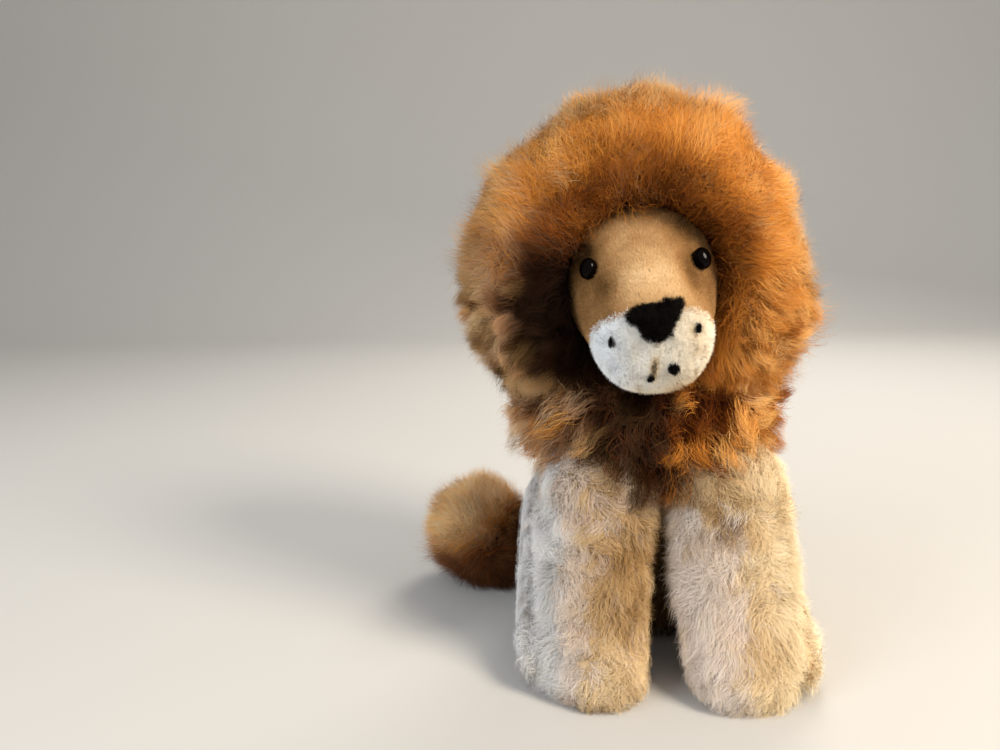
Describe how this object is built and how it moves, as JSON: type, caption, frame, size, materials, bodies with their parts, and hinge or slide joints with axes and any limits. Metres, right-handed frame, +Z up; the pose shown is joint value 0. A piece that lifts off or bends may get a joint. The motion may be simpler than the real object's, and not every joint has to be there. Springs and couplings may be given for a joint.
{
  "type": "seated plush lion",
  "caption": "Seated plush lion of long pale fur with a brown mane, pale muzzle, bead eyes, jointed head and legs, and a curled tail with a dark tuft.",
  "frame": {"origin": "centre of the seat, on the table that the lion sits on", "axes": "+Z up, -Y the way the lion faces, +X its own left side"},
  "size_m": [0.1921, 0.1876, 0.2622],
  "materials": {
    "cream_fur": "long wavy cream pile",
    "rust_fur": "long fluffy orange-brown pile with lighter tips",
    "brown_fur": "long dark brown pile mixed with tan",
    "tan_face_fur": "short tan pile",
    "white_muzzle_fur": "fluffy white pile",
    "black_wool": "felted wool",
    "eye_bead": "glossy",
    "washer_plastic": "matt",
    "stuffing": "loose white fibre"
  },
  "bodies": {
    "torso": {"torso_pelt": "cream_fur", "torso_stuffing": "stuffing", "seat_panel": "cream_fur", "chest_ruff": "brown_fur"},
    "neck_core": {"neck_stuffing": "stuffing"},
    "neck_sleeve": {"neck_pelt": "cream_fur"},
    "head": {"head_pelt": "tan_face_fur", "head_stuffing": "stuffing", "muzzle_patch": "white_muzzle_fur", "nose_patch": "black_wool", "whisker_spot_right": "black_wool", "whisker_spot_left": "black_wool", "mouth_stitch_left": "black_wool", "mouth_stitch_right": "black_wool", "eye_left": "eye_bead", "eye_washer_left": "washer_plastic", "eye_right": "eye_bead", "eye_washer_right": "washer_plastic", "mane_pelt": "rust_fur"},
    "front_leg_left": {"front_leg_left_pelt": "cream_fur", "front_leg_left_stuffing": "stuffing"},
    "front_leg_right": {"front_leg_right_pelt": "cream_fur", "front_leg_right_stuffing": "stuffing"},
    "hind_leg_left": {"hind_leg_left_pelt": "cream_fur", "hind_leg_left_stuffing": "stuffing"},
    "hind_leg_right": {"hind_leg_right_pelt": "cream_fur", "hind_leg_right_stuffing": "stuffing"},
    "tail": {"tail_pelt": "cream_fur", "tail_stuffing": "stuffing"},
    "tail_tip": {"tail_tuft": "brown_fur"}
  },
  "joints": [
    {"name": "neck_turn", "type": "hinge", "parent": "torso", "child": "neck_core", "pos_m": [-0.003, -0.03, 0.133], "axis": [0, 0, 1], "range_deg": [-20, 20], "stiffness_Nm_per_rad": 0.4},
    {"name": "neck_tilt", "type": "hinge", "parent": "neck_core", "child": "neck_sleeve", "pos_m": [-0.003, -0.03, 0.133], "axis": [0, 1, 0], "range_deg": [-8, 8], "stiffness_Nm_per_rad": 0.8},
    {"name": "neck_nod", "type": "hinge", "parent": "neck_sleeve", "child": "head", "pos_m": [-0.003, -0.03, 0.133], "axis": [1, 0, 0], "range_deg": [-8, 8], "stiffness_Nm_per_rad": 0.8},
    {"name": "shoulder_left", "type": "hinge", "parent": "torso", "child": "front_leg_left", "pos_m": [0.03, -0.056, 0.084], "axis": [1, 0, 0], "range_deg": [-12, 2], "stiffness_Nm_per_rad": 0.3},
    {"name": "shoulder_right", "type": "hinge", "parent": "torso", "child": "front_leg_right", "pos_m": [-0.03, -0.056, 0.084], "axis": [1, 0, 0], "range_deg": [-12, 2], "stiffness_Nm_per_rad": 0.3},
    {"name": "hip_left", "type": "hinge", "parent": "torso", "child": "hind_leg_left", "pos_m": [0.054, 0.008, 0.035], "axis": [1, 0, 0], "range_deg": [-12, 0], "stiffness_Nm_per_rad": 0.3},
    {"name": "hip_right", "type": "hinge", "parent": "torso", "child": "hind_leg_right", "pos_m": [-0.054, 0.008, 0.035], "axis": [1, 0, 0], "range_deg": [-12, 0], "stiffness_Nm_per_rad": 0.3},
    {"name": "tail_swing", "type": "hinge", "parent": "torso", "child": "tail", "pos_m": [0, 0.051, 0.014], "axis": [0, 0, 1], "range_deg": [-70, 0], "stiffness_Nm_per_rad": 0.05},
    {"name": "tuft_bend", "type": "hinge", "parent": "tail", "child": "tail_tip", "pos_m": [-0.082, 0.047, 0.017], "axis": [0, 0, 1], "range_deg": [-30, 0], "stiffness_Nm_per_rad": 0.05}
  ]
}
